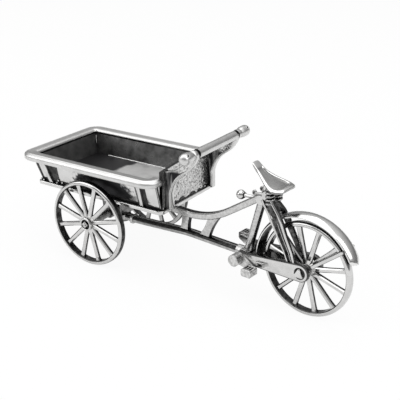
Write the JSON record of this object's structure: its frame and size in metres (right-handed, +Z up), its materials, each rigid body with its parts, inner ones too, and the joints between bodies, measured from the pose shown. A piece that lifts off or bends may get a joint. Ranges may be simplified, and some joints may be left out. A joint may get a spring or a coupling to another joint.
{
  "type": "miniature box cargo tricycle",
  "caption": "Polished silver table ornament of a box cargo tricycle: flared tray between two front wheels, pivoting rear frame with saddle, pedals and mudguard. Wheels and steering turn.",
  "frame": {"origin": "on the surface that the wheels stand on, under the middle of the bounding box", "axes": "+X towards the box and its front edge, +Y to the rider's left, +Z up; the rear frame is stored turned 6.3 degrees about the kingpin, as pictured"},
  "size_m": [0.0976, 0.0334, 0.0375],
  "materials": {
    "polished_silver": "polished",
    "dark_silver": "oxidised"
  },
  "bodies": {
    "carriage": {"base_plate": "polished_silver", "tray_floor": "polished_silver", "tray_front_wall": "polished_silver", "tray_left_wall": "polished_silver", "tray_right_wall": "polished_silver", "tray_rear_board": "polished_silver", "tray_rim": "polished_silver", "side_ribs_left": "polished_silver", "side_ribs_right": "polished_silver", "handle_bracket_left": "polished_silver", "handle_bracket_right": "polished_silver", "handlebar": "polished_silver", "handle_grip_left": "polished_silver", "handle_grip_right": "polished_silver", "front_axle": "dark_silver", "front_axle_nuts": "polished_silver", "kingpin": "dark_silver", "axle_bolster": "dark_silver", "pivot_plate": "dark_silver", "axle_hangers": "dark_silver"},
    "front_left_wheel": {"front_left_tyre": "polished_silver", "front_left_spokes": "polished_silver"},
    "front_right_wheel": {"front_right_tyre": "polished_silver", "front_right_spokes": "polished_silver"},
    "rear_frame": {"reach_bar": "polished_silver", "reach_collar": "polished_silver", "backbone": "polished_silver", "strut_front": "polished_silver", "strut_rear": "polished_silver", "bottom_bracket": "polished_silver", "seat_tube": "polished_silver", "chain_stay_left": "polished_silver", "chain_stay_right": "polished_silver", "rear_axle": "polished_silver", "rear_axle_nuts": "polished_silver", "seat_stays": "polished_silver", "mudguard": "polished_silver", "mudguard_stays": "polished_silver", "stay_bridge": "polished_silver", "crank": "polished_silver", "pedals": "polished_silver", "saddle": "polished_silver", "saddle_post": "polished_silver", "saddle_clamp": "polished_silver", "saddle_springs": "polished_silver", "seat_cluster": "polished_silver", "top_lever": "polished_silver"},
    "rear_wheel": {"rear_tyre": "polished_silver", "rear_spokes": "polished_silver"}
  },
  "joints": [
    {"name": "front_left_spin", "type": "hinge", "parent": "carriage", "child": "front_left_wheel", "pos_m": [0.02522, 0.01475, 0.012], "axis": [0, 1, 0], "continuous": true},
    {"name": "front_right_spin", "type": "hinge", "parent": "carriage", "child": "front_right_wheel", "pos_m": [0.02522, -0.01475, 0.012], "axis": [0, 1, 0], "continuous": true},
    {"name": "steering", "type": "hinge", "parent": "carriage", "child": "rear_frame", "pos_m": [0.02522, 0, 0.0131], "axis": [0, 0, 1], "range_deg": [-28.7, 41.3]},
    {"name": "rear_spin", "type": "hinge", "parent": "rear_frame", "child": "rear_wheel", "pos_m": [-0.03571, 0.00673, 0.012], "axis": [0.1097, 0.994, 0], "continuous": true}
  ]
}
